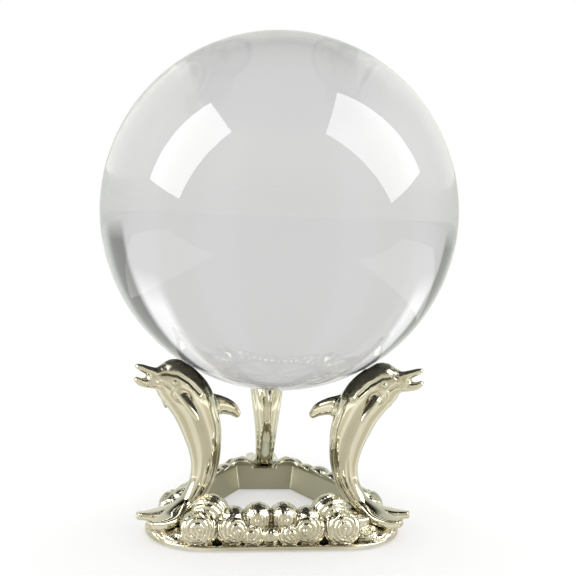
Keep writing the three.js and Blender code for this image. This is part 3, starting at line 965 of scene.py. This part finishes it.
def softbox(name, azimuth, elevation, spin, width, height, power):
    """A big light that looks at the ball's centre."""
    lamp = area_light(name, width, height, power)
    a, e = math.radians(azimuth), math.radians(elevation)
    out = Vector((math.sin(a) * math.cos(e), -math.cos(a) * math.cos(e), math.sin(e)))
    lamp.location = Vector(BALL_CENTRE * MM) + SOFTBOX_DISTANCE * out
    facing = out.to_track_quat("Z", "Y").to_matrix().to_4x4()
    lamp.rotation_euler = (facing @ Matrix.Rotation(math.radians(spin), 4, "Z")).to_euler()


def table_glow(name, x):
    """A bright patch of the table beside the part, which only mirrors show."""
    lamp = area_light(name, *TABLE_GLOW_SIZE, TABLE_GLOW_POWER)
    lamp.location = (x, *TABLE_GLOW_PLACE)
    lamp.rotation_euler = (math.pi, 0, 0)
    lamp.visible_camera = False
    lamp.visible_transmission = False


def grey(stops):
    """Stops of (position, level) as stops of (position, colour)."""
    return [(position, (level, level, level)) for position, level in stops]


def mirrored_room(tree, direction, height, bounces, through_ball):
    """What the metal mirrors: bright walls with upright bands below a dark ceiling."""
    walls_and_ceiling = coloured(tree, height, [
        (0.0, (0.88, 0.89, 0.87)), (0.50, (0.88, 0.89, 0.86)), (0.70, (0.86, 0.87, 0.84)),
        (0.83, (0.74, 0.74, 0.71)), (0.88, (0.34, 0.34, 0.33)), (0.91, (0.035, 0.035, 0.035)),
        (0.95, (0.007, 0.007, 0.009)), (1.0, (0.004, 0.004, 0.005)),
    ])
    bands = upright_bands(tree, direction["X"], direction["Y"])
    room = mixed(tree, 1.0, walls_and_ceiling, bands, "MULTIPLY")
    twice = worked_out(tree, "GREATER_THAN", bounces, 1.5)
    room = mixed(tree, worked_out(tree, "MULTIPLY", twice, 0.35), room, (0.02, 0.02, 0.02, 1))
    return mixed(tree, through_ball, room, (0.008, 0.009, 0.01, 1))


def tent(tree, direction, height):
    """What shows through the ball: a white tent whose bright walls end off to both sides ahead."""
    sideways = worked_out(tree, "ABSOLUTE", direction["X"])
    ahead = worked_out(tree, "MAXIMUM", direction["Y"], 0.0)
    turn = worked_out(tree, "DIVIDE", worked_out(tree, "ARCTAN2", sideways, ahead), math.pi / 2)
    gap_stops = [(0.53, 0.34), (0.66, 0.30), (0.76, 1.0), (1.0, 1.0)]
    gap = coloured(tree, turn, grey([(0.0, 1.0), (0.50, 1.0)] + gap_stops))
    wall_stops = [(0.0, 1.0), (0.34, 1.0), (0.38, 1.6), (0.48, 1.6)]
    wall_and_gap = coloured(tree, turn, grey(wall_stops + gap_stops))
    walls = mixed(tree, fitted(tree, direction["Z"], 0.26, 0.42), gap, wall_and_gap)
    plain = coloured(tree, height, grey([(0.0, 1.0), (0.5, 1.0), (0.8, 0.98), (1.0, 0.80)]))
    return mixed(tree, fitted(tree, direction["Z"], 0.06, 0.16), plain, walls)


def world():
    made = bpy.data.worlds.new("studio")
    bpy.context.scene.world = made
    made.use_nodes = True
    tree = made.node_tree
    tree.nodes.clear()
    place = tree.nodes.new("ShaderNodeTexCoord").outputs["Generated"]
    direction = linked(tree, "ShaderNodeSeparateXYZ", {0: place}).outputs
    height = fitted(tree, direction["Z"], -1, 1)
    path = tree.nodes.new("ShaderNodeLightPath").outputs
    bounces = path["Glossy Depth"]
    through_ball = worked_out(tree, "GREATER_THAN", path["Transmission Depth"], 0.5)
    room = mirrored_room(tree, direction, height, bounces, through_ball)
    in_a_mirror = worked_out(tree, "GREATER_THAN", bounces, 0.5)
    colour = mixed(tree, in_a_mirror, tent(tree, direction, height), room)
    colour = mixed(tree, path["Is Diffuse Ray"], colour, (1.12, 1.12, 1.12, 1))
    colour = mixed(tree, path["Is Camera Ray"], colour, (1, 1, 1, 1))
    background = linked(tree, "ShaderNodeBackground", {"Color": colour})
    linked(tree, "ShaderNodeOutputWorld", {"Surface": background.outputs[0]})


def camera():
    turn, yaw, pitch, roll = (math.radians(v) for v in CAMERA_ANGLES)
    data = bpy.data.cameras.new("camera")
    data.sensor_width = SENSOR
    data.lens = LENS
    data.clip_start, data.clip_end = 0.01, 50
    eye = placed(data, "camera")
    spin = Matrix.Rotation(-turn, 3, "Z")
    ahead = Vector((math.sin(yaw) * math.cos(pitch), math.cos(yaw) * math.cos(pitch), -math.sin(pitch)))
    forward = spin @ ahead
    right = spin @ Vector((math.cos(yaw), -math.sin(yaw), 0))
    up = right.cross(forward)
    c, s = math.cos(roll), math.sin(roll)
    right, up = right * c + up * s, up * c - right * s
    pose = Matrix((right, up, -forward)).transposed().to_4x4()
    pose.translation = spin @ Vector((0, -CAMERA_DISTANCE, 0)) + Vector((0, 0, CAMERA_HEIGHT))
    eye.matrix_world = pose
    bpy.context.scene.camera = eye


chrome = champagne_chrome()
glass = crystal()
steel = zinc_steel()
silicone = clear_silicone()
add_dolphins(chrome)
add_ring(chrome)
add_ball(glass)
dress_small_pieces(steel, silicone)

stage_table()
for name, setting in SOFTBOXES.items():
    softbox(name, *setting)
for name, x in TABLE_GLOWS.items():
    table_glow(name, x)
world()
camera()
bpy.context.scene.view_settings.view_transform = "Standard"
